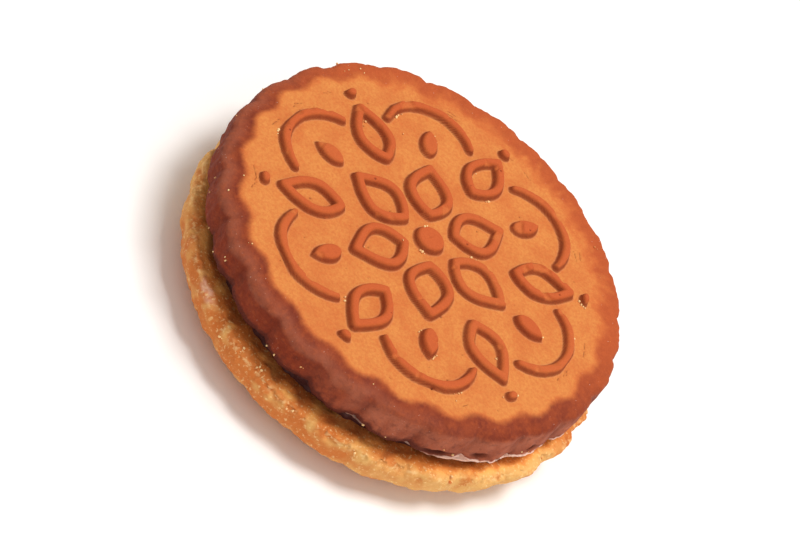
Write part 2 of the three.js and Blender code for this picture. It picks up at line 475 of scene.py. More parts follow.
# How a biscuit is baked: its section, the relief's height, the cells across its sheet, how much
# of its baked side shows, a seed, how many cracks and pores it has, how much of the flute depth
# it has, and how far a groove notches its lower corner
Bake = namedtuple(
    "Bake",
    "thickness face_radius ridge_drop relief cells seen_inside seed cracks pits fluting notch",
)
CHOCOLATE_BAKE = Bake(
    thickness=6.4 * MM, face_radius=27.5 * MM, ridge_drop=1.0 * MM, relief=1.0 * MM, cells=156,
    seen_inside=1.6 * MM, seed=3, cracks=18, pits=46, fluting=1.0, notch=1.2 * MM,
)
GOLDEN_BAKE = Bake(
    thickness=6.2 * MM, face_radius=26.2 * MM, ridge_drop=2.7 * MM, relief=0.5 * MM, cells=140,
    seen_inside=5.4 * MM, seed=8, cracks=6, pits=40, fluting=0.6, notch=0.2 * MM,
)
RING_PITCH = 0.3 * MM
HIDDEN_RINGS = (0.4 * MM, 1.2 * MM, 3.0 * MM)  # coarser rings past the last one that shows
FINE_ROUND_LINES = 0.4 * MM  # the sheet is cut finer this near to a raised line,
FINE_ROUND_MARKS = 0.25 * MM  # this near to a crack or a pore,
FINE_CORNER = (-1.7 * MM, 0.5 * MM)  # and this far before and past the lower corner
LINE_SOFTNESS = 0.62 * MM  # width of the slope along the edge of a raised line
LINE_WOBBLE = 0.13 * MM
LINE_HEIGHTS = (0.88, 1.08)  # shares of the relief that single lines stand up by
LINE_WEAR = 0.3  # share of its height that a line has lost at its most worn
LINE_FOOT = (0.14 * MM, 0.16 * MM)  # middle, from a line's edge, and width of its foot, which gets a painted highlight
LINE_SHADED_SIDE = (-0.1 * MM, 0.22 * MM)  # the same of its side, which gets painted shade
GROOVE_SHARPNESS = 0.6  # below 1 the lobes are broad and the grooves between them narrow
GROOVE_WANDER = 0.022
GROOVE_DEPTHS = (0.85, 1.25)  # shares of the flute depth that single grooves have
CRACK_HALF_WIDTH = 0.05 * MM
CRACK_DEPTH = 0.16 * MM
CRACK_BAND = (1.3, 3.0)  # millimetres from the edge of the face
PORE_RADII = (0.04, 0.14)  # millimetres
UNEVENNESS = (  # size of the lumps, octaves, seed, and millimetres high on the face and the rim
    (11, 2, 1, 0.10, 0),
    (2.6, 3, 2, 0.03, 0.17),
    (0.8, 2, 3, 0.012, 0.07),
)
FOLD_STRETCH = (1, 1, 0.22)  # folds of the wall run up and down
FOLD_HEIGHT = 0.2  # millimetres


def hairline_cracks(bake, rng):
    """Short crooked cracks that run round the edge of the face."""
    cracks = []
    for _ in range(bake.cracks):
        turn = rng.uniform(0, 2 * math.pi)
        reach = bake.face_radius - rng.uniform(*CRACK_BAND) * MM
        steps = rng.randint(4, 9)
        points = []
        for _ in range(steps):
            points.append((reach * math.cos(turn), reach * math.sin(turn)))
            turn += rng.uniform(0.2, 0.5) * MM / reach
            reach += rng.uniform(-0.16, 0.16) * MM
        widths = CRACK_HALF_WIDTH * np.sin(np.linspace(0.25, math.pi - 0.25, steps))
        cracks.append(Stroke(np.array(points), widths))
    return cracks


def pores(bake, rng):
    """Small open pores scattered over the face."""
    found = []
    for _ in range(bake.pits):
        reach = bake.face_radius * math.sqrt(rng.uniform(0.02, 0.94))
        pore = dot(reach, rng.uniform(*PORE_RADII) * MM)
        found.append(turned(pore, rng.uniform(0, 2 * math.pi)))
    return found


def grooves_round(angle, flutes, places, rng):
    """The narrow grooves of the wall and the soft scallops of the face's edge, each from 0 on
    a lobe to about 1 in a groove, no two of them alike."""
    depths = np.array([rng.uniform(*GROOVE_DEPTHS) for _ in range(flutes)])
    wander = angle + GROOVE_WANDER * clouds(places, 9, 2, 5)
    number = np.round(wander * flutes / (2 * math.pi)).astype(int) % flutes
    narrow = 1 - np.abs(np.sin(wander * flutes / 2)) ** GROOVE_SHARPNESS
    soft = (1 + np.cos(wander * flutes)) / 2
    return narrow * depths[number], soft * depths[number]


def bake_skin(bake, sizes, strokes):
    """The skin of a biscuit as a flat sheet, and where the surface is and what it is like at
    each of the sheet's vertices. The baked side is at height 0."""
    rng = random.Random(bake.seed)
    section = Section(sizes, bake)
    cracks = hairline_cracks(bake, rng)
    pits = pores(bake, rng)
    seen_end = section.corner + bake.seen_inside
    rings = np.arange(section.face_end + RING_PITCH, seen_end, RING_PITCH)
    rings = [*rings, *(rings[-1] + np.array(HIDDEN_RINGS))]

    def near(drawn, reach):
        return lambda places: gap_to_all(drawn, places, MM)[0] < reach

    def at_corner(places):
        way = np.hypot(places[:, 0], places[:, 1]) - section.corner
        return (way > FINE_CORNER[0]) & (way < FINE_CORNER[1])

    bm = flat_sheet(section.face_end, bake.cells, rings)
    cut_finer(bm, near(strokes, FINE_ROUND_LINES))
    cut_finer(bm, near(cracks + pits, FINE_ROUND_MARKS))
    cut_finer(bm, at_corner)
    mesh = mesh_of(bm)

    flat = positions(mesh)
    skin = SimpleNamespace(mesh=mesh, section=section, rng=rng)
    skin.way = np.where(flat[:, 2] == POLE, section.end, np.hypot(flat[:, 0], flat[:, 1]))
    skin.angle = np.arctan2(flat[:, 1], flat[:, 0])
    radius, height, skin.out, skin.up = section.at(skin.way)
    skin.around = np.column_stack([np.cos(skin.angle), np.sin(skin.angle)])
    skin.base = np.column_stack([skin.around * radius[:, None], height])
    skin.past_edge = (skin.way - section.face_end) / MM
    skin.past_corner = (skin.way - section.corner) / MM
    skin.on_face = 1 - smooth(skin.past_edge, -0.5, 0.3)
    skin.on_rim = smooth(skin.past_edge, -0.5, 1.5)
    skin.seen = 1 - smooth(skin.way, seen_end - 0.8 * MM, seen_end)
    press_grooves(skin, bake, sizes)
    raise_strokes(skin, flat[:, :2], strokes)
    open_marks(skin, flat[:, :2], cracks, pits)
    skin.lift = bake.relief * skin.rise - CRACK_DEPTH * skin.crack
    add_unevenness(skin)
    return skin


def press_grooves(skin, bake, sizes):
    """How far the flutes press each point in towards the axis and notch the lower corner."""
    way, section = skin.way, skin.section
    skin.groove, skin.scallop = grooves_round(skin.angle, sizes.flutes, skin.base, skin.rng)
    past_face = smooth(way, section.face_end, section.ridge + 0.4 * MM)
    near_face = smooth(skin.past_edge, -4.5, -0.3)
    on_wall = past_face * (1 - smooth(skin.past_corner, 0, 3))
    on_wall *= 1 + 0.6 * smooth(way, section.waist - MM, section.corner)
    skin.press = sizes.face_scallop * skin.scallop * near_face * (1 - past_face)
    skin.press += bake.fluting * sizes.flute_depth * skin.groove * on_wall
    skin.notch = bake.notch * skin.groove**1.5 * hump(skin.past_corner, 0, 0.8)


def raise_strokes(skin, flat, strokes):
    """How far each point is raised by the relief, from 0 to about 1, and how near it is to the foot
    of a line, which gets a painted highlight, and to its side, which gets painted shade."""
    wobble = [clouds(skin.base, 4, 2, seed) for seed in (11, 12)]
    places = flat + LINE_WOBBLE * np.column_stack(wobble)
    gaps, nearest = gap_to_all(strokes, places, 2 * MM)
    heights = np.array([skin.rng.uniform(*LINE_HEIGHTS) for _ in strokes])[nearest]
    inside = np.clip(-gaps / LINE_SOFTNESS, 0, 1)
    worn = LINE_WEAR * smooth(clouds(skin.base, 2.2, 2, 13), 0.35, 0.6)
    skin.rise = (1 - (1 - inside) ** 2.2) * heights * (1 - worn) * skin.on_face
    skin.foot = hump(gaps, *LINE_FOOT) * skin.on_face
    skin.side = hump(gaps, *LINE_SHADED_SIDE) * skin.on_face


def open_marks(skin, flat, cracks, pits):
    """How far each point lies in a crack or a pore, from 0 to 1."""
    crack_gaps, _ = gap_to_all(cracks, flat, MM)
    pit_gaps, _ = gap_to_all(pits, flat, MM)
    crack = 1 - smooth(crack_gaps, -0.02 * MM, 0.08 * MM)
    pit = 1 - smooth(pit_gaps, -0.04 * MM, 0.1 * MM)
    skin.crack = np.maximum(crack, pit) * skin.on_face


def add_unevenness(skin):
    """Lumps of the baked dough: broad on the face, coarser and folded on the wall."""
    on_face, on_rim = skin.on_face * MM, skin.on_rim * skin.seen * MM
    for size, octaves, seed, face_height, rim_height in UNEVENNESS:
        height = face_height * on_face + rim_height * on_rim
        skin.lift += height * clouds(skin.base, size, octaves, seed)
    skin.lift += FOLD_HEIGHT * on_rim * clouds(skin.base * FOLD_STRETCH, 1.5, 2, 4)


def shaped(skin, sink, sag):
    """Where the surface is: sink moves it in towards the axis and sag moves it down."""
    reach = np.hypot(skin.base[:, 0], skin.base[:, 1])
    inward = (skin.press + sink) * (reach > MM)
    reach = np.maximum(reach - inward + skin.lift * skin.out, 0)
    height = skin.base[:, 2] + skin.lift * skin.up + skin.notch - sag
    return np.column_stack([skin.around * reach[:, None], height])


# Chips of the rim: azimuth and width in radians, then millimetres: the middle from the lower
# corner along the skin, the height and the depth. Below zero, the dough bulges out.
CHOCOLATE_CHIPS = (
    (-0.40, 0.034, -2.0, 0.50, 1.0),
    (-0.69, 0.036, -1.9, 0.45, 1.0),
    (-0.90, 0.065, -1.7, 0.40, 0.9),
    (-1.28, 0.034, -0.4, 0.60, 0.9),
    (-1.59, 0.030, -0.3, 0.60, 0.9),
    (-1.86, 0.036, -0.3, 0.60, 1.0),
    (-2.35, 0.030, -0.2, 0.45, 0.8),
    (0.60, 0.040, -0.2, 0.50, 0.8),
    (1.90, 0.030, -0.2, 0.50, 0.8),
    (2.60, 0.040, -0.2, 0.45, 0.7),
)
GOLDEN_CHIPS = (
    (0.20, 0.090, -0.5, 1.8, -1.7),
    (0.0, 0.110, -0.5, 1.8, -1.3),
    (-0.30, 0.300, -0.5, 2.2, -0.8),
    (-1.35, 0.030, -0.5, 0.6, 0.5),
    (-2.05, 0.040, -0.5, 0.8, 0.6),
    (1.20, 0.040, -0.5, 0.8, 0.6),
)


def chipped(skin, azimuth, chips):
    """How deep the chips are at each point."""
    total = np.zeros(len(skin.way))
    for middle_azimuth, width, middle, height, depth in chips:
        near = hump(apart(azimuth, middle_azimuth), 0, width)
        total += depth * MM * near * hump(skin.past_corner, middle, height)
    return total


# Sides of the chocolate biscuit
FAR_SIDE = Side(1.45, 1.2, 1.0)  # its shoulder stands higher
LIT_SHOULDER_SIDE = Side(1.45, 1.45, 1.0)  # its shoulder is paler, as painted light
WIDE_SIDE = Side(1.2, 1.3, 0.9)  # it has spread in the oven
LIP_SIDE = Side(-0.5, 0.42, 0.3)  # its lower edge is drawn out by the cream
SHADED_EDGE_SIDE = Side(-1.55, 0.8, 0.3)  # its lower edge gets a ragged band of painted shade
SHEEN_SIDE = Side(-2.2, 1.15, 0.9)  # its shoulder has a greyish painted sheen
SHADED_WALL_SIDE = Side(-2.2, 1.0, 0.8)  # its wall is darker, as painted shade
LIT_WALL_SIDE = Side(-0.7, 0.75, 0.5)  # its wall is pale and pinkish, as painted light
FAR_RISE = 0.9 * MM
WIDE_SPREAD = 0.75 * MM
LIP_REACH = 0.85 * MM
LIP_LIFT = 0.7 * MM
CHOCOLATE_BREAK = 0.7 * MM  # how deep crumb has broken away along the lower corner
SHEEN_END = 3.2  # millimetres past the edge of the face where the painted sheen ends

# Sides of the golden biscuit
BROWNED_SHADED_SIDE = Side(-1.85, 0.75, 0.9)  # its wall is browned, and darker as painted shade
NUB_SIDE = Side(0.15, 0.25, 0.25)  # its rim bulges out and is browned
TOASTED_SIDE = Side(-0.45, 0.6, 0.4)  # its baked side is browned
SMEAR_AZIMUTH = -2.19  # where a little cream is smeared on its corner
SMEAR_WIDTH = 0.05
GOLDEN_BREAK = 0.25 * MM
WAVE_HEIGHT = 0.45 * MM  # of the slow waves in its rim
WAVE_SINK = 0.35 * MM  # how far these lie in towards the axis


def chocolate_surface(skin):
    """Where the chocolate biscuit's surface is, and on the skin what its looks need."""
    edge, corner = skin.past_edge, skin.past_corner
    skin.chips = chipped(skin, skin.angle, CHOCOLATE_CHIPS)
    skin.broken = smooth(clouds(skin.base, 1.5, 3, 21), 0.2, 0.3) * hump(corner, 0, 0.45)
    skin.far = within(skin.angle, FAR_SIDE)
    skin.lip = within(skin.angle, LIP_SIDE)
    raised = FAR_RISE * skin.far * hump(skin.way, skin.section.ridge, 1.5 * MM)
    spread = within(skin.angle, WIDE_SIDE) * smooth(edge, 0.2, 2.2)
    spread *= WIDE_SPREAD * (1 - smooth(corner, -1.5, 0.5))
    spread += LIP_REACH * skin.lip * hump(corner, -0.3, 0.6)
    skin.notch *= 1 - 0.6 * skin.lip
    skin.notch += LIP_LIFT * skin.lip * hump(corner, 0, 0.9)
    return shaped(skin, skin.chips + CHOCOLATE_BREAK * skin.broken - spread, -raised)


def chocolate_looks(skin):
    """How much of each look the chocolate biscuit has at each point, for its material."""
    edge, corner, base = skin.past_edge, skin.past_corner, skin.base
    ridge = skin.section.ridge
    # painted sheen: a greyish band on the near-left shoulder
    sheen_end = SHEEN_END - 0.6 * skin.scallop + 0.3 * clouds(base, 1.4, 2, 22)
    under = smooth(edge, sheen_end - 0.4, sheen_end + 0.3)
    haze = smooth(edge, 0.5, 2.0) * (1 - under) * within(skin.angle, SHEEN_SIDE)
    haze *= 0.7 + 0.3 * clouds(base, 1.2, 3, 23)
    # painted shade on the near-left wall
    dusk = under * within(skin.angle, SHADED_WALL_SIDE)
    dusk *= 0.75 + 0.5 * clouds(base * (1, 1, 0.3), 1.5, 3, 30)
    # painted light on the near-right lower wall
    blush = smooth(edge, 2.2, 3.0) * within(skin.angle, LIT_WALL_SIDE)
    blush *= 0.6 + 0.5 * clouds(base, 2, 3, 24)
    smeared = smooth(corner + 0.25 * clouds(base, 0.7, 3, 51), -1.0, -0.7)
    smeared *= 0.9 * skin.lip
    # The shade band is painted shade in the grooves, along the lower corner, low on the wall of the
    # near-left side, in chips and in breaks
    hem = 0.3 * skin.groove * smooth(edge, 2.0, 3.2)
    hem += hump(corner, 0.1, 0.3) * (0.35 + clouds(base, 0.9, 3, 25))
    ragged = corner + 0.45 * clouds(base, 0.8, 3, 47) + 0.5 * skin.groove
    rough = within(skin.angle, SHADED_EDGE_SIDE) * (1 - skin.lip)
    hem += rough * smooth(ragged, -2.3, -1.4) + 1.3 * skin.chips / MM + skin.broken
    hem *= 1 - 0.8 * smeared
    painted = edge * (1 - 0.65 * skin.far)
    painted += skin.far * (0.1 + 0.35 * clouds(base, 1.3, 3, 48))
    # painted light: the shoulder is paler on the far side
    pale = 0.75 * within(skin.angle, LIT_SHOULDER_SIDE) * (1 - smooth(skin.way, ridge, ridge + 1.2 * MM))
    return {
        "past_edge": painted, "rise": skin.rise, "foot": skin.foot, "side": skin.side,
        "crack": skin.crack, "haze": np.clip(haze, 0, 1), "dusk": np.clip(dusk, 0, 1),
        "blush": np.clip(blush, 0, 1), "hem": np.clip(hem, 0, 0.9), "far": pale,
        "smeared": smeared,
    }


def golden_surface(skin, azimuth):
    """Where the golden biscuit's surface is, with nothing of it under the floor."""
    corner = skin.past_corner
    chips = chipped(skin, azimuth, GOLDEN_CHIPS)
    skin.broken = smooth(clouds(skin.base, 1.3, 3, 26), 0.22, 0.32) * hump(corner, -0.1, 0.7)
    waves = WAVE_HEIGHT * clouds(skin.base, 3.5, 3, 27) - WAVE_SINK
    waves *= hump(corner, 0, 1.6)
    surface = shaped(skin, chips + GOLDEN_BREAK * skin.broken + waves, -0.5 * waves)
    surface[:, 2] = np.minimum(surface[:, 2], GOLDEN_BAKE.thickness + GOLDEN_BAKE.relief)
    return surface


def golden_looks(skin, azimuth):
    """How much of each look the golden biscuit has at each point, for its material."""
    edge, corner, base = skin.past_edge, skin.past_corner, skin.base
    # browner inwards on the baked side: partly its baked colour, partly painted shade under the
    # chocolate biscuit
    stain = 0.35 * smooth(corner + 0.7 * clouds(base, 1.8, 3, 45), 0.3, 2.4)
    toasted = smooth(corner + 0.6 * clouds(base, 1.4, 3, 52), 0.3, 1.2)
    stain += 0.9 * toasted * within(azimuth, TOASTED_SIDE)
    # browned patches, and painted shade on the near-left wall
    browned = within(azimuth, BROWNED_SHADED_SIDE)
    browned *= 0.9 + 1.2 * clouds(base * (1, 1, 1.6), 2.6, 3, 46)
    browned += 0.8 * within(azimuth, NUB_SIDE)
    browned *= smooth(edge, 0.2, 2.4)
    # painted shade: dark lobes on the baked side under the chocolate biscuit, and in breaks
    hem = 0.55 * smooth(corner + 1.7 * clouds(base, 2.6, 2, 49), 1.3, 2.3)
    hem += 0.2 * skin.broken * (0.4 + clouds(base, 0.6, 2, 28))
    smear = hump(apart(azimuth, SMEAR_AZIMUTH), 0, SMEAR_WIDTH) * hump(corner, -0.2, 0.5)
    smear *= 0.8 + clouds(base, 0.7, 2, 29)
    flaky = smooth(clouds(base * (1, 1, 2), 0.9, 3, 50), 0.1, 0.35)
    flaky *= 0.55 * hump(corner, -0.4, 0.35)
    return {
        "past_edge": edge, "past_corner": corner, "rise": skin.rise, "crack": skin.crack,
        "hem": np.clip(hem, 0, 0.9), "smear": np.clip(smear, 0, 0.8), "flaky": flaky,
        "stain": np.clip(stain, 0, 0.8), "browned": np.clip(browned, 0, 0.9),
    }


# ---------------------------------------------------------------- materials


SHADER_INPUTS = ("Base Color", "Roughness", "Specular IOR Level", "Normal")


class Paint:
    """A material being mixed: adds nodes, links them and lays tints over its body colour."""

    def __init__(self, name, body):
        self.body = body
        self.material = bpy.data.materials.new(name)
        self.material.use_nodes = True
        self.tree = self.material.node_tree
        self.shader = self.tree.nodes["Principled BSDF"]
        self.place = self.tree.nodes.new("ShaderNodeTexCoord").outputs["Object"]

    def put(self, socket, value):
        """Links a socket's value in, or sets a constant one."""
        if isinstance(value, bpy.types.NodeSocket):
            self.tree.links.new(value, socket)
        elif isinstance(value, (tuple, list)) or hasattr(value, "r"):
            socket.default_value = (*tuple(value)[:3], 1.0)
        else:
            socket.default_value = value

    def add(self, kind, output, inputs, **settings):
        """Adds a node with its settings and inputs, and returns one of its outputs."""
        node = self.tree.nodes.new("ShaderNode" + kind)
        for name, value in settings.items():
            setattr(node, name, value)
        for name, value in inputs.items():
            self.put(node.inputs[name], value)
        return node.outputs[output]

    def attribute(self, name):
        return self.add("Attribute", "Fac", {}, attribute_name=name)

    def math(self, operation, first, second):
        return self.add("Math", 0, {0: first, 1: second}, operation=operation)

    def lumps(self, size, detail=2.0, roughness=0.5, shift=0.0):
        """Noise from 0 to 1 in lumps of a size in millimetres."""
        inputs = {"Vector": self.place, "W": shift, "Scale": 1 / (size * MM), "Detail": detail}
        inputs["Roughness"] = roughness
        return self.add("TexNoise", "Fac", inputs, noise_dimensions="4D")

    def between(self, value, low, high, to_low=0.0, to_high=1.0):
        """A value remapped from one range to another, held at its ends."""
        inputs = {"Value": value, "From Min": low, "From Max": high}
        inputs.update({"To Min": to_low, "To Max": to_high})
        return self.add("MapRange", "Result", inputs, interpolation_type="SMOOTHSTEP")

    def mix(self, share, first, second, blend="MIX"):
        inputs = {"Factor": share, 6: first, 7: second}
        return self.add("Mix", 2, inputs, data_type="RGBA", blend_type=blend)

    def lay(self, tint, share, blend="MIX"):
        """Lays a share of a tint over the body colour."""
        self.body = self.mix(share, self.body, tint, blend)

    def lay_by(self, tint, value, low, high, most=1.0, where=None):
        """Lays the more of a tint the higher a value is, up to a share, or less of it where a
        second share is low."""
        share = self.between(value, low, high, 0.0, most)
        if where is not None:
            share = self.math("MULTIPLY", share, where)
        self.lay(tint, share)

    def lay_looks(self, **tints):
        """Lays a tint for each look that the mesh keeps."""
        for look, tint in tints.items():
            self.lay(tint, self.attribute(look))

    def lay_painted_shade(self, tint, most):
        """Lays a tint as painted shade on the shade band, and in the cracks and pores up to a
        share.
        """
        cracks = self.between(self.attribute("crack"), 0.2, 1.0, 0.0, most)
        self.lay(tint, self.math("MAXIMUM", self.attribute("hem"), cracks))

    def shade(self, tint, grain, low, high, most):
        """Darkens the hollows of a grain by a tint."""
        self.lay(tint, self.between(grain, low, high, most, 0.0), "MULTIPLY")

    def bump(self, height, distance, under=None):
        inputs = {"Distance": distance, "Height": height}
        if under is not None:
            inputs["Normal"] = under
        return self.add("Bump", "Normal", inputs)

    def finish(self, surface, normal):
        for name, value in zip(SHADER_INPUTS, (self.body, *surface, normal)):
            self.put(self.shader.inputs[name], value)
        return self.material


def crumb_grain(paint):
    """The sandy grain of baked crumb: its normal, its fine noise and its coarser noise."""
    fine = paint.lumps(0.17, 3, 0.6, 1.0)
    coarse = paint.lumps(0.55, 3, 0.55, 2.0)
    rough = paint.between(paint.attribute("past_edge"), -0.5, 1.5, 0.4, 1.0)
    normal = paint.bump(paint.math("MULTIPLY", coarse, rough), 0.16 * MM)
    normal = paint.bump(paint.math("MULTIPLY", fine, rough), 0.05 * MM, normal)
    return normal, fine, coarse


BAKED_SURFACE = (0.8, 0.25)  # roughness and specular level
CREAM_SURFACE = (0.55, 0.35)
CRUMB_SURFACE = (0.7, 0.25)
FLOOR_SURFACE = (0.9, 0.2)
CHOCOLATE_SHADE = (0.45, 0.2, 0.1)  # tints of the hollows in each grain
GOLDEN_SHADE = (0.8, 0.5, 0.25)
GOLDEN_COARSE_SHADE = (0.9, 0.6, 0.35)
CREAM_SHADE = (0.8, 0.5, 0.4)


def chocolate_material(colours):
    """Baked milk chocolate crumb: an orange-brown face, a darker shoulder and wall."""
    paint = Paint("chocolate_crumb", colours.chocolate)
    normal, fine, coarse = crumb_grain(paint)
    ragged = paint.between(paint.lumps(1.2, 3, 0.6, 4.0), 0.2, 0.8, -0.18, 0.18)
    edge = paint.math("ADD", paint.attribute("past_edge"), ragged)

    # The flat face, its lines with painted shade on their sides, and the vivid line round it
    paint.lay_by(colours.chocolate_relief, paint.lumps(5, 3, 0.55, 3.0), 0.38, 0.66, 0.4)
    paint.lay_by(colours.chocolate_relief, paint.lumps(0.45, 2, 0.5, 10.0), 0.4, 0.62, 0.28)
    paint.lay_looks(rise=colours.chocolate_relief)
    # painted shade on the sides of the raised lines
    paint.lay_by(colours.chocolate_rim, paint.attribute("side"), 0.1, 1.0, 0.75)
    paint.lay_by(colours.chocolate_halo, edge, -0.7, 0.1, 0.4)

    # The shoulder and the wall, with painted light on the far shoulder and on the near-right lower
    # wall, painted shade on the near-left wall and a painted sheen on the near-left shoulder
    patchy = paint.between(paint.lumps(2.0, 3, 0.5, 5.0), 0.35, 0.65)
    shoulder = paint.mix(patchy, colours.chocolate_rim, colours.chocolate_wall)
    # painted light on the far shoulder, towards the colour of the lines
    shoulder = paint.mix(paint.attribute("far"), shoulder, colours.chocolate_relief)
    paint.lay_by(shoulder, edge, -0.5, 0.7)
    paint.lay_looks(dusk=colours.chocolate_dusk, haze=colours.chocolate_haze)
    paint.lay_looks(blush=colours.chocolate_blush)

    # Specks, dark patches on the wall, pale grains, painted shade in cracks, chips and breaks,
    # cream, and a painted highlight along the foot of the lines
    paint.lay_by(colours.chocolate_halo, coarse, 0.45, 0.7, 0.16)
    dark, on_wall = paint.lumps(1.0, 3, 0.6, 12.0), paint.between(edge, 1.8, 3.2)
    paint.lay_by(colours.chocolate_deep, dark, 0.5, 0.68, 0.4, on_wall)
    pale, past_edge = paint.lumps(0.26, 1, 0.5, 11.0), paint.between(edge, -0.3, 0.6)
    paint.lay_by(colours.cream, pale, 0.74, 0.8, 0.6, past_edge)
    # painted shade in cracks, pores, grooves, chips, breaks and along the lower corner
    paint.lay_painted_shade(colours.chocolate_deep, 0.55)
    paint.lay_looks(smeared=colours.cream)
    # painted highlight along the foot of the lines
    paint.lay_by(colours.chocolate_foot, paint.attribute("foot"), 0.3, 1.0, 0.12)
    paint.shade(CHOCOLATE_SHADE, fine, 0.35, 0.7, 0.16)
    return paint.finish(BAKED_SURFACE, normal)


def golden_material(colours):
    """Baked golden shortcrust: a pale face and wall, browned along its corner and shoulder."""
    paint = Paint("golden_crumb", colours.golden)
    normal, fine, coarse = crumb_grain(paint)
    edge, corner = paint.attribute("past_edge"), paint.attribute("past_corner")
    paint.lay_by(colours.golden_relief, paint.lumps(5, 3, 0.5, 6.0), 0.35, 0.65, 0.3)
    paint.lay_looks(rise=colours.golden_relief)
    paint.lay_by(colours.golden_rim, edge, -0.6, 0.9)
    paint.lay_by(colours.golden_wall, edge, 1.6, 3.0)
    paint.lay_by(colours.golden_ledge, corner, 0.0, 0.9)
    blotches, low_down = paint.lumps(2.4, 4, 0.62, 7.0), paint.between(corner, -3.6, -1.0)
    paint.lay_by(colours.golden_brown, blotches, 0.5, 0.66, 0.75, low_down)
    # browned patches with painted shade on the near-left wall, a browner baked side with painted
    # shade under the chocolate biscuit, and smeared cream
    paint.lay_looks(browned=colours.golden_brown, stain=colours.golden_toast, smear=colours.cream)
    pale = paint.between(paint.lumps(0.4, 2, 0.5, 9.0), 0.56, 0.7, 0.0, 0.6)
    paint.lay(colours.crumb, paint.math("MAXIMUM", pale, paint.attribute("flaky")))
    # painted shade on the shade band, and in cracks and pores
    paint.lay_painted_shade(colours.golden_deep, 0.6)
    paint.shade(GOLDEN_COARSE_SHADE, coarse, 0.3, 0.6, 0.2)
    paint.shade(GOLDEN_SHADE, fine, 0.35, 0.7, 0.16)
    return paint.finish(BAKED_SURFACE, normal)


def cream_material(colours):
    """Pale cocoa cream with a dried edge, darkened as painted shade where it lies back between the
    biscuits.
    """
    paint = Paint("cocoa_cream", colours.cream)
    fine = paint.lumps(0.3, 3, 0.6, 8.0)
    paint.lay_looks(dry=colours.cream_dark)
    paint.shade(CREAM_SHADE, fine, 0.3, 0.6, 0.3)
    return paint.finish(CREAM_SURFACE, paint.bump(fine, 0.1 * MM))


def crumb_material(colours):
    """Loose golden crumbs, some lighter and some browner."""
    paint = Paint("loose_crumb", colours.crumb)
    paint.lay_looks(shade=colours.golden_brown)
    return paint.finish(CRUMB_SURFACE, paint.bump(paint.lumps(0.12, 2, 0.5, 9.0), 0.03 * MM))


# ---------------------------------------------------------------- operators


def middle_of(box):
    return (box[0] + box[1]) / 2


def axis_at(box, height):
    """The move that puts a shape's own axis in the middle of a box, at a height."""
    middle = middle_of(box)
    return Matrix.Translation((middle.x, middle.y, height))


class COOKIE_OT_add_chocolate_biscuit(bpy.types.Operator):
    """Add the chocolate biscuit, with its rosette up"""

    bl_idname = "cookie.add_chocolate_biscuit"
    bl_label = "Chocolate Biscuit"

    def execute(self, context):
        sizes = context.scene.cookie_sizes
        skin = bake_skin(CHOCOLATE_BAKE, sizes, rosette(sizes.line_width))
        reshape(skin.mesh, chocolate_surface(skin))
        give(skin.mesh, chocolate_looks(skin))
        skin.mesh.transform(axis_at(CHOCOLATE_BOX, CHOCOLATE_BOX[0].z))
        material = chocolate_material(context.scene.cookie_colours)
        made = piece("fluted_chocolate_biscuit", skin.mesh, material)
        settle(made, "chocolate_crumb", "chocolate_biscuit")
        return {"FINISHED"}


class COOKIE_OT_add_golden_biscuit(bpy.types.Operator):
    """Add the golden biscuit, lying on its wreath"""

    bl_idname = "cookie.add_golden_biscuit"
    bl_label = "Golden Biscuit"

    def execute(self, context):
        skin = bake_skin(GOLDEN_BAKE, context.scene.cookie_sizes, wreath())
        azimuth = GOLDEN_TURN - skin.angle  # of each point once the biscuit lies face down
        reshape(skin.mesh, golden_surface(skin, azimuth))
        give(skin.mesh, golden_looks(skin, azimuth))
        face_down = Matrix.Rotation(GOLDEN_TURN, 4, "Z") @ Matrix.Rotation(math.pi, 4, "X")
        skin.mesh.transform(axis_at(GOLDEN_BOX, GOLDEN_BOX[1].z) @ face_down)
        material = golden_material(context.scene.cookie_colours)
        made = piece("fluted_golden_biscuit", skin.mesh, material)
        settle(made, "golden_crumb", "golden_biscuit")
        return {"FINISHED"}


CREAM_ROWS = 18  # of vertices up its edge
CREAM_AROUND = 1000
CREAM_OVERLAP = 0.06 * MM  # how far the cream reaches into each biscuit
CREAM_RECESS = 1.2 * MM  # how far its lower part stays back
CREAM_LIP = (0.68, 0.8)  # shares of its height between which the lip begins
LIP_PROUD = 0.3 * MM  # how far the lip stands out past the chocolate biscuit's foot
DRY_RECESS = 1.0 * MM  # how far it stays back from there where the cream has not oozed out
DARK_RECESS = 0.3 * MM
OOZED_SIDE = Side(-0.46, 0.46, 0.3)
# on this side the cream lies further back, and its edge gets painted shade
DARK_SIDE = Side(-2.1, 0.62, 0.5)


def plain_disc(radius, low, high):
    """A flat disc with rows of vertices up its edge."""
    edge = [(radius, height) for height in np.linspace(low, high, CREAM_ROWS)]
    inner = radius - 2 * CREAM_RECESS
    profile = [(0, low), (inner, low), *edge, (inner, high), (0, high)]
    bm = bmesh.new()
    verts = [bm.verts.new((reach, 0, height)) for reach, height in profile]
    edges = [bm.edges.new(pair) for pair in zip(verts[:-1], verts[1:])]
    bmesh.ops.spin(
        bm, geom=verts + edges, cent=(0, 0, 0), axis=(0, 0, 1), dvec=(0, 0, 0),
        angle=2 * math.pi, steps=CREAM_AROUND, use_merge=True,
    )
    bmesh.ops.remove_doubles(bm, verts=bm.verts, dist=0.001 * MM)
    return mesh_of(bm)


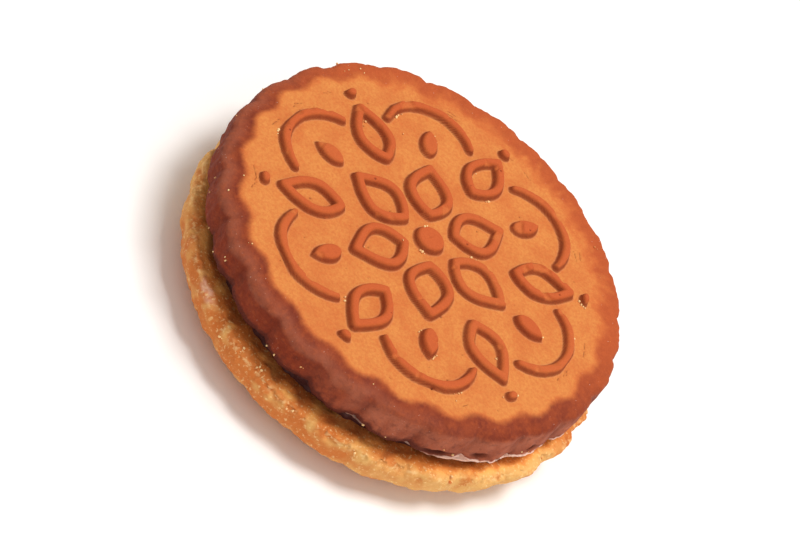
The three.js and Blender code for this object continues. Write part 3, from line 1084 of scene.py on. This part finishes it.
class COOKIE_OT_add_cream(bpy.types.Operator):
    """Add the cocoa cream between the biscuits"""

    bl_idname = "cookie.add_cream"
    bl_label = "Cocoa Cream"

    def execute(self, context):
        sizes = context.scene.cookie_sizes
        low, high = CREAM_BOX[0].z - CREAM_OVERLAP, CREAM_BOX[1].z + CREAM_OVERLAP
        radius = (CREAM_BOX[1].x - CREAM_BOX[0].x) / 2
        mesh = plain_disc(radius, low, high)
        places = positions(mesh)
        reach = np.hypot(places[:, 0], places[:, 1])
        angle = np.arctan2(places[:, 1], places[:, 0])
        oozed, dark = within(angle, OOZED_SIDE), within(angle, DARK_SIDE)

        # The chocolate biscuit's foot, seen from the cream's own axis
        offset = middle_of(CHOCOLATE_BOX) - middle_of(CREAM_BOX)
        toward = offset.x * np.cos(angle) + offset.y * np.sin(angle)
        groove = 1 - np.abs(np.sin(angle * sizes.flutes / 2)) ** GROOVE_SHARPNESS
        groove *= 1 - 0.6 * oozed
        foot = sizes.radius - sizes.rounding + toward - sizes.flute_depth * groove

        lumps = clouds(places, 1.8, 3, 31)
        lip = smooth((places[:, 2] - low) / (high - low) + 0.06 * lumps, *CREAM_LIP)
        proud = foot + LIP_PROUD - (1 - oozed) * DRY_RECESS - dark * DARK_RECESS
        proud += 0.12 * MM * lumps
        back = radius - CREAM_RECESS + 0.3 * MM * clouds(places, 1.1, 3, 32)
        target = back + (proud - back) * lip
        scale = np.where(reach > radius - 0.5 * MM, target / np.maximum(reach, MM), 1)
        places[:, :2] *= scale[:, None]
        reshape(mesh, places)
        # painted shade where the cream lies back between the biscuits, together with its dried edge
        dry = (1 - oozed) * (0.5 + 0.5 * clouds(places, 1.5, 3, 33)) + dark + (1 - lip)
        give(mesh, {"dry": np.clip(dry, 0, 1)})
        mesh.transform(axis_at(CREAM_BOX, 0))
        made = piece("cocoa_cream_layer", mesh, cream_material(context.scene.cookie_colours))
        settle(made, "cocoa_cream", "cocoa_cream")
        return {"FINISHED"}


CRUMB_SIZES = (0.10 * MM, 0.26 * MM)
CRUMB_STRETCH = (0.6, 1.3)
CRUMB_HEIGHT = 0.4  # share of its size that a crumb stands out by
CRUMB_JITTER = 0.03 * MM
CLUSTER_WIDTH = 0.5 * MM


def add_crumbs(bm, rng, owner, weights, clusters, most):
    """Adds clusters of crumbs that stick to a piece, more of them where the weights are higher,
    and each of one crumb up to the most."""
    places = positions(owner.data)
    order = np.lexsort(places.T)  # by place, because the vertices' own order differs between runs
    places = places[order]
    normals = np.array([vert.normal for vert in owner.data.vertices])[order]
    weights = np.maximum(weights, 0)[order]
    middles = rng.choice(len(places), size=clusters, replace=False, p=weights / weights.sum())
    picked = []
    for index in middles:
        share = weights * hump(np.linalg.norm(places - places[index], axis=1), 0, CLUSTER_WIDTH)
        count = rng.integers(1, most + 1)
        picked.extend(rng.choice(len(places), size=count, p=share / share.sum()))
    for index in picked:
        size = rng.uniform(*CRUMB_SIZES) * rng.uniform(0.6, 1.0)
        stretch = Matrix.Diagonal((*rng.uniform(*CRUMB_STRETCH, 3), 1))
        spin = Matrix.Rotation(rng.uniform(0, 2 * math.pi), 4, Vector(rng.normal(size=3)))
        place = Vector(places[index] + normals[index] * size * CRUMB_HEIGHT)
        bmesh.ops.create_icosphere(
            bm, subdivisions=1, radius=size, matrix=Matrix.Translation(place) @ spin @ stretch
        )


def read(owner, name):
    values = np.empty(len(owner.data.vertices), np.float32)
    owner.data.attributes[name].data.foreach_get("value", values)
    return values


class COOKIE_OT_scatter_crumbs(bpy.types.Operator):
    """Scatter the loose golden crumbs"""

    bl_idname = "cookie.scatter_crumbs"
    bl_label = "Loose Crumbs"

    def execute(self, context):
        rng = np.random.default_rng(5)
        chocolate = bpy.data.objects["fluted_chocolate_biscuit"]
        golden = bpy.data.objects["fluted_golden_biscuit"]
        bm = bmesh.new()
        past = read(chocolate, "past_edge")
        add_crumbs(bm, rng, chocolate, read(chocolate, "foot") ** 2, 22, 6)
        add_crumbs(bm, rng, chocolate, (past > 0) & (past < 7.0), 60, 2)
        add_crumbs(bm, rng, chocolate, (past < -1) * 1.0, 10, 2)
        past = read(golden, "past_corner")
        add_crumbs(bm, rng, golden, (past > -2) & (past < 2.0), 18, 3)
        mesh = mesh_of(bm)
        places = positions(mesh)
        jitter = np.column_stack([clouds(places, 0.12, 1, seed) for seed in (42, 43, 44)])
        reshape(mesh, places + CRUMB_JITTER * jitter)
        give(mesh, {"shade": np.clip(0.3 + 1.2 * clouds(places, 2, 2, 41), 0, 1)})
        made = piece("loose_crumbs", mesh, crumb_material(context.scene.cookie_colours))
        settle(made, "golden_crumb")
        return {"FINISHED"}


Lamp = namedtuple("Lamp", "name direction distance size tint")
KEY = Lamp("key", (0.2, 0.17, 0.95), 0.7, 0.28, (1, 0.99, 0.97))
FILL = Lamp("fill", (0.5, -0.7, 0.6), 0.8, 0.8, (1, 0.97, 0.94))
FLOOR_HALF = 3.0  # metres from the middle of the floor to its sides


def area_light(lamp, power, target):
    """Adds a square light that looks at a target."""
    light = bpy.data.lights.new(lamp.name, "AREA")
    light.energy = power
    light.size = lamp.size
    light.color = lamp.tint
    made = bpy.data.objects.new(lamp.name, light)
    toward = Vector(lamp.direction).normalized()
    made.location = target + toward * lamp.distance
    made.rotation_euler = toward.to_track_quat("Z", "Y").to_euler()
    bpy.context.scene.collection.objects.link(made)


class COOKIE_OT_set_stage(bpy.types.Operator):
    """Set the floor, the lights and the camera"""

    bl_idname = "cookie.set_stage"
    bl_label = "Stage"

    def execute(self, context):
        scene, stage = context.scene, context.scene.cookie_stage
        low, high = CAD_BOUNDS
        target = (Vector(low) + Vector(high)) / 2
        bm = bmesh.new()
        bmesh.ops.create_grid(bm, x_segments=1, y_segments=1, size=FLOOR_HALF)
        paint = Paint("pale_floor", stage.floor)
        material = paint.finish(FLOOR_SURFACE, paint.bump(paint.lumps(2), 0.01 * MM))
        piece("pale_floor", mesh_of(bm), material)
        area_light(KEY, stage.key, target)
        area_light(FILL, stage.fill, target)
        world = bpy.data.worlds.new("pale_surround")
        world.use_nodes = True
        backdrop = world.node_tree.nodes["Background"]
        backdrop.inputs["Color"].default_value = (*stage.surround, 1)
        backdrop.inputs["Strength"].default_value = stage.sky
        scene.world = world
        scene.view_settings.view_transform = "Standard"
        toward = Vector((0, -math.cos(stage.elevation), math.sin(stage.elevation)))
        level = Vector((1, 0, 0))
        upright = toward.cross(level)
        right = level * math.cos(stage.roll) + upright * math.sin(stage.roll)
        up = toward.cross(right)
        camera = bpy.data.objects.new("camera", bpy.data.cameras.new("camera"))
        camera.data.lens = stage.lens
        turn = Matrix((right, up, toward)).transposed().to_4x4()
        camera.matrix_world = Matrix.Translation(target + toward * stage.distance) @ turn
        scene.collection.objects.link(camera)
        scene.camera = camera
        return {"FINISHED"}


class COOKIE_PT_panel(bpy.types.Panel):
    """Lists the cookie's pieces and sizes"""

    bl_label = "Sandwich Cookie"
    bl_idname = "COOKIE_PT_panel"
    bl_space_type = "VIEW_3D"
    bl_region_type = "UI"
    bl_category = "Cookie"

    def draw(self, context):
        for operator in OPERATORS:
            self.layout.operator(operator.bl_idname)
        for group in (context.scene.cookie_sizes, context.scene.cookie_colours,
                      context.scene.cookie_stage):
            box = self.layout.box()
            for name in group.__annotations__:
                box.prop(group, name)


GROUPS = {
    "cookie_sizes": BiscuitSizes,
    "cookie_colours": CookieColours,
    "cookie_stage": StageSettings,
}
OPERATORS = (
    COOKIE_OT_set_stage,
    COOKIE_OT_add_chocolate_biscuit,
    COOKIE_OT_add_golden_biscuit,
    COOKIE_OT_add_cream,
    COOKIE_OT_scatter_crumbs,
)


def register():
    for made in (*GROUPS.values(), *OPERATORS, COOKIE_PT_panel):
        bpy.utils.register_class(made)
    for name, group in GROUPS.items():
        setattr(bpy.types.Scene, name, PointerProperty(type=group))


def unregister():
    for name in GROUPS:
        delattr(bpy.types.Scene, name)
    for made in reversed((*GROUPS.values(), *OPERATORS, COOKIE_PT_panel)):
        bpy.utils.unregister_class(made)


def main():
    register()
    bpy.ops.cookie.set_stage()
    bpy.ops.cookie.add_chocolate_biscuit()
    bpy.ops.cookie.add_golden_biscuit()
    bpy.ops.cookie.add_cream()
    bpy.ops.cookie.scatter_crumbs()


if __name__ == "__main__":
    main()
